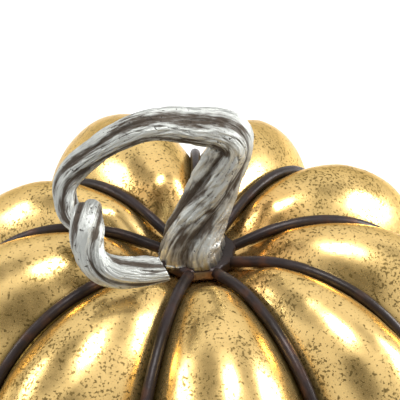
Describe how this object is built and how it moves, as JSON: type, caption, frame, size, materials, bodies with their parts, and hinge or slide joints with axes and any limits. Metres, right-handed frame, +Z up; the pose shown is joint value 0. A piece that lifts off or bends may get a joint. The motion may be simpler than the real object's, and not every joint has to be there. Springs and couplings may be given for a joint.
{
  "type": "pumpkin figure",
  "caption": "Hollow lobed pumpkin ornament in gold-lustre ceramic, caged by dark rib wires, with a curled cast-metal stem held on by a tie rod.",
  "frame": {"origin": "on the tie rod's axis, in the plane that the felt feet stand on", "axes": "+Z up along the tie rod; the stem's curl reaches towards -X and -Y, and -Y is the front"},
  "size_m": [0.2122, 0.2145, 0.1656],
  "materials": {
    "gold_glaze": "antiqued gold lustre glaze, mirror-like, with dark age specks and a worn dark patina",
    "dark_metal": "dark brown-black oil-rubbed rod, satin",
    "stem_metal": "antique pewter finish, bright ridges and dark brown-grey recesses",
    "gasket": "black flat gasket rubber",
    "fastener": "zinc-plated steel",
    "felt": "dark grey felt"
  },
  "bodies": {
    "root": {"body_shell": "gold_glaze", "top_hub": "dark_metal", "bottom_hub": "dark_metal", "top_gasket": "gasket", "bottom_gasket": "gasket", "stem": "stem_metal", "tie_rod": "fastener", "base_washer": "fastener", "base_nut": "fastener", "rib_wire_1": "dark_metal", "rib_wire_2": "dark_metal", "rib_wire_3": "dark_metal", "rib_wire_4": "dark_metal", "rib_wire_5": "dark_metal", "rib_wire_6": "dark_metal", "rib_wire_7": "dark_metal", "rib_wire_8": "dark_metal", "rib_wire_9": "dark_metal", "felt_foot_1": "felt", "felt_foot_2": "felt", "felt_foot_3": "felt"}
  },
  "joints": []
}
